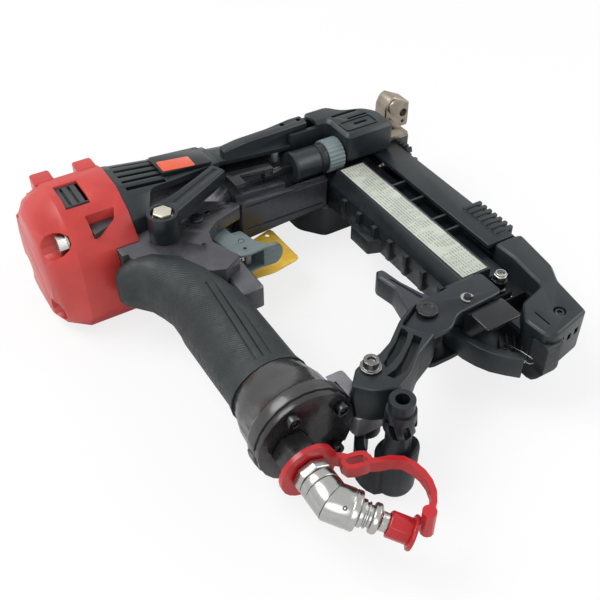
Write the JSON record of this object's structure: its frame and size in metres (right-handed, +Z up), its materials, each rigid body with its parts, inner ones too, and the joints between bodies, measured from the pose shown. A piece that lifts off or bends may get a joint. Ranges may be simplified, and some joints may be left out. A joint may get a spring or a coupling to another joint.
{
  "type": "pneumatic flooring nailer",
  "caption": "Air driven nailer for laying floors: red capped cylinder, rubber grip with swivel air inlet, long stick magazine, depth dial and contact nose.",
  "frame": {"origin": "middle of the tool's box on the surface that it lies on", "axes": "+X along the driver from the cylinder cap to the nose, -Y along the handle and the magazine to their ends, +Z up through the tool's width"},
  "size_m": [0.268, 0.302, 0.078],
  "materials": {
    "red": "red moulded plastic, half gloss",
    "black_plastic": "dark glass-filled nylon, slightly grained",
    "gloss_black": "gloss black paint",
    "gunmetal": "die-cast metal with dark grey paint",
    "dark_metal": "black oxide and powder coat",
    "rubber": "black moulded rubber",
    "trigger_grey": "grey coated metal",
    "light_grey": "light grey cast aluminium",
    "knurl": "grey moulded knurled ring",
    "steel": "plated steel",
    "chrome": "chromed steel",
    "tan": "phosphated steel, tan grey",
    "cream": "zinc plated hexagon bolt",
    "yellow": "yellow plastic sheet",
    "vent_grey": "dark grey plastic louvre",
    "spring_steel": "hardened steel"
  },
  "bodies": {
    "frame": {"cylinder_cap": "red", "exhaust_louvre": "vent_grey", "cap_bolt_1": "steel", "cap_bolt_2": "steel", "cap_bolt_3": "steel", "cap_bolt_4": "steel", "exhaust_cover": "black_plastic", "name_plate": "gloss_black", "body_housing": "gunmetal", "cylinder_sleeve": "steel", "bumper": "rubber", "hook_bolt": "cream", "drive_guide": "gunmetal", "guide_cover": "black_plastic", "side_bolt": "steel", "nose_cover": "black_plastic", "nose_body": "gunmetal", "trigger_pin": "steel", "valve_body": "light_grey", "trigger_tag": "yellow", "magazine_rail": "dark_metal", "rear_bracket": "dark_metal", "bracket_nut": "steel", "bracket_panel": "black_plastic", "link_arm": "black_plastic", "link_bolt": "steel", "bracket_bolt": "steel", "grip_mount": "light_grey", "swivel_hanger": "dark_metal", "hanger_barrel": "dark_metal", "grip_rubber": "rubber", "grip_end": "gunmetal", "end_plate": "gloss_black", "plate_screw_1": "steel", "plate_screw_2": "steel", "plate_screw_3": "steel", "inlet_adapter": "gloss_black"},
    "hook": {"belt_hook": "dark_metal"},
    "piston": {"piston_driver": "spring_steel"},
    "head_valve": {"head_valve": "black_plastic"},
    "contact": {"contact_shoe": "tan", "contact_arm": "light_grey"},
    "dial": {"adjust_dial": "trigger_grey", "dial_ring": "knurl"},
    "trigger": {"trigger": "trigger_grey", "trigger_lever": "light_grey"},
    "stem": {"valve_stem": "steel"},
    "cover": {"magazine_cover": "dark_metal", "end_block": "black_plastic", "guard": "black_plastic", "rubber_foot": "rubber"},
    "pusher": {"pusher": "black_plastic", "pusher_spring": "spring_steel"},
    "lever": {"release_lever": "gunmetal"},
    "swivel": {"swivel_body": "chrome", "plug_body": "chrome", "tether_strap": "red", "dust_cap": "red"}
  },
  "joints": [
    {"name": "hook_turn", "type": "hinge", "parent": "frame", "child": "hook", "pos_m": [-0.06747, 0.07481, 0.064], "axis": [0, 0, 1], "range_deg": [-60, 0]},
    {"name": "piston_slide", "type": "slide", "parent": "frame", "child": "piston", "axis": [1, 0, 0], "range_m": [0, 0.054]},
    {"name": "head_valve_slide", "type": "slide", "parent": "frame", "child": "head_valve", "axis": [-1, 0, 0], "range_m": [0, 0.006], "stiffness_N_per_m": 300},
    {"name": "contact_slide", "type": "slide", "parent": "frame", "child": "contact", "axis": [-1, 0, 0], "range_m": [0, 0.008], "stiffness_N_per_m": 400},
    {"name": "dial_turn", "type": "hinge", "parent": "contact", "child": "dial", "pos_m": [0.04002, 0.09701, 0.057], "axis": [1, 0, 0], "continuous": true},
    {"name": "trigger_pull", "type": "hinge", "parent": "frame", "child": "trigger", "pos_m": [-0.03637, 0.08341, 0.039], "axis": [0, 0, -1], "range_deg": [0, 6], "stiffness_Nm_per_rad": 0.8},
    {"name": "stem_press", "type": "slide", "parent": "frame", "child": "stem", "axis": [-1, 0, 0], "range_m": [0, 0.0036]},
    {"name": "cover_slide", "type": "slide", "parent": "frame", "child": "cover", "axis": [0, -1, 0], "range_m": [0, 0.06]},
    {"name": "pusher_slide", "type": "slide", "parent": "frame", "child": "pusher", "axis": [0, -1, 0], "range_m": [0, 0.11], "stiffness_N_per_m": 15},
    {"name": "lever_turn", "type": "hinge", "parent": "frame", "child": "lever", "pos_m": [0.02183, -0.05429, 0.041], "axis": [0, 0, 1], "range_deg": [0, 10], "stiffness_Nm_per_rad": 0.5},
    {"name": "swivel_turn", "type": "hinge", "parent": "frame", "child": "swivel", "pos_m": [-0.07698, -0.10399, 0.039], "axis": [0, -1, 0], "continuous": true}
  ],
  "couplings": [
    {"joint": "stem_press", "follows": "trigger_pull", "m_per_rad": 0.032}
  ]
}
